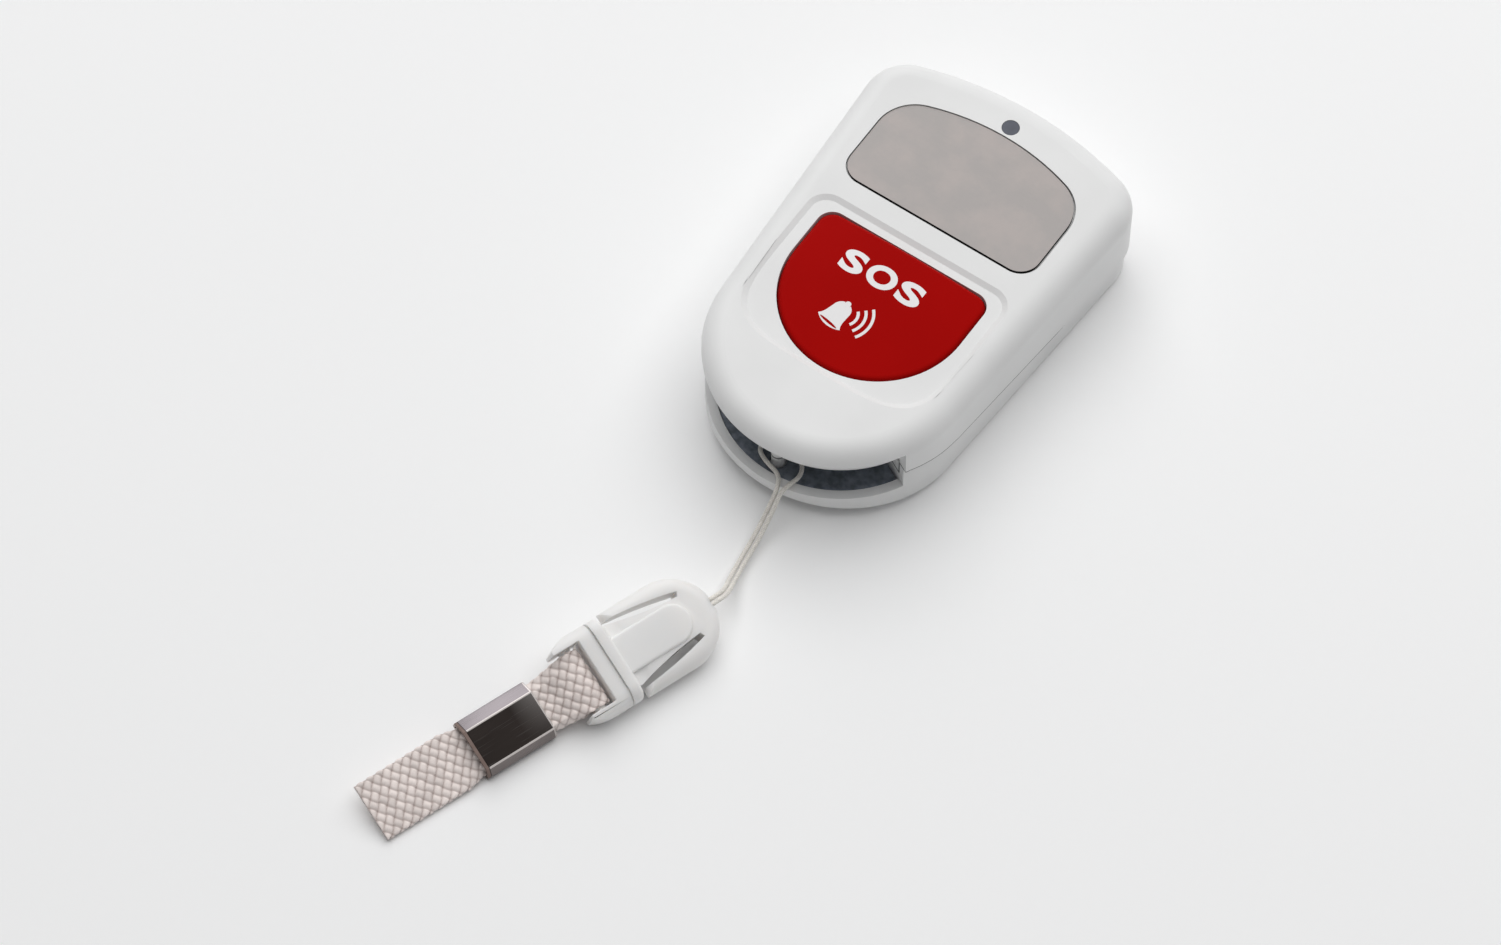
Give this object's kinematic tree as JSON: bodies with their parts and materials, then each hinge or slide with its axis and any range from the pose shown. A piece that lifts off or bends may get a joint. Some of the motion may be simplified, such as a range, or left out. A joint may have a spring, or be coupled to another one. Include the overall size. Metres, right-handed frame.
{
  "type": "wireless panic button",
  "caption": "Hand-held wireless panic button: flat rounded housing with a half-round red push button, a bare metal plate and a signal lamp, and a thin cord with a clip-on strap.",
  "frame": {"origin": "middle of the housing's footprint, on the flat back that it lies on; the free cord and strap aren't counted", "axes": "+X to the right of the face, +Y along the housing towards the signal lamp, away from the lanyard, +Z out of the face"},
  "size_m": [0.0386, 0.1238, 0.0153],
  "materials": {
    "white_shell": "fine moulded satin",
    "grey_tray": "matt",
    "red_button": "satin, crowned",
    "plate_metal": "finely grained bare sheet",
    "adhesive_film": "clear grey film",
    "lamp_lens": "smoky, clear",
    "led_epoxy": "clear, tinted",
    "board_laminate": "lacquered green",
    "black_plastic": "matt black",
    "bright_metal": "tin and nickel, bright",
    "ceramic": "fired ceramic, tinned ends",
    "contact_metal": "nickelled spring sheet",
    "screw_steel": "zinc plated",
    "cord_braid": "fine round braid, off-white",
    "white_clip": "moulded, slightly glossy",
    "strap_braid": "flat silky basket braid",
    "crimp_nickel": "dark nickel"
  },
  "bodies": {
    "root": {"top_shell": "white_shell", "bottom_shell": "white_shell", "inner_tray": "grey_tray", "badge_plate": "plate_metal", "plate_adhesive": "adhesive_film", "status_lens": "lamp_lens", "indicator_led": "led_epoxy", "circuit_board": "board_laminate", "tact_switch_body": "black_plastic", "tact_switch_cover": "bright_metal", "coin_cell": "bright_metal", "cell_clip_upper": "contact_metal", "cell_contact_lower": "contact_metal", "radio_chip": "black_plastic", "crystal_can": "bright_metal", "code_chip": "black_plastic", "chip_capacitor_1": "ceramic", "chip_capacitor_2": "ceramic", "chip_capacitor_3": "ceramic", "chip_capacitor_4": "ceramic", "aerial_wire": "contact_metal", "housing_screws": "screw_steel", "lanyard_cord": "cord_braid", "buckle_socket": "white_clip"},
    "button": {"alarm_button": "red_button"},
    "switch_plunger": {"tact_switch_plunger": "black_plastic"},
    "strap_end": {"buckle_tongue": "white_clip", "strap": "strap_braid", "strap_crimp": "crimp_nickel"}
  },
  "joints": [
    {"name": "alarm_press", "type": "slide", "parent": "root", "child": "button", "axis": [0, 0, -1], "range_m": [0, 0.0005], "stiffness_N_per_m": 400, "springref_m": -0.0005},
    {"name": "switch_press", "type": "slide", "parent": "root", "child": "switch_plunger", "axis": [0, 0, -1], "range_m": [0, 0.0005]},
    {"name": "buckle_release", "type": "slide", "parent": "root", "child": "strap_end", "axis": [-0.342, -0.9397, 0], "range_m": [0, 0.0095]}
  ],
  "couplings": [
    {"joint": "switch_press", "follows": "alarm_press", "ratio": 1}
  ]
}
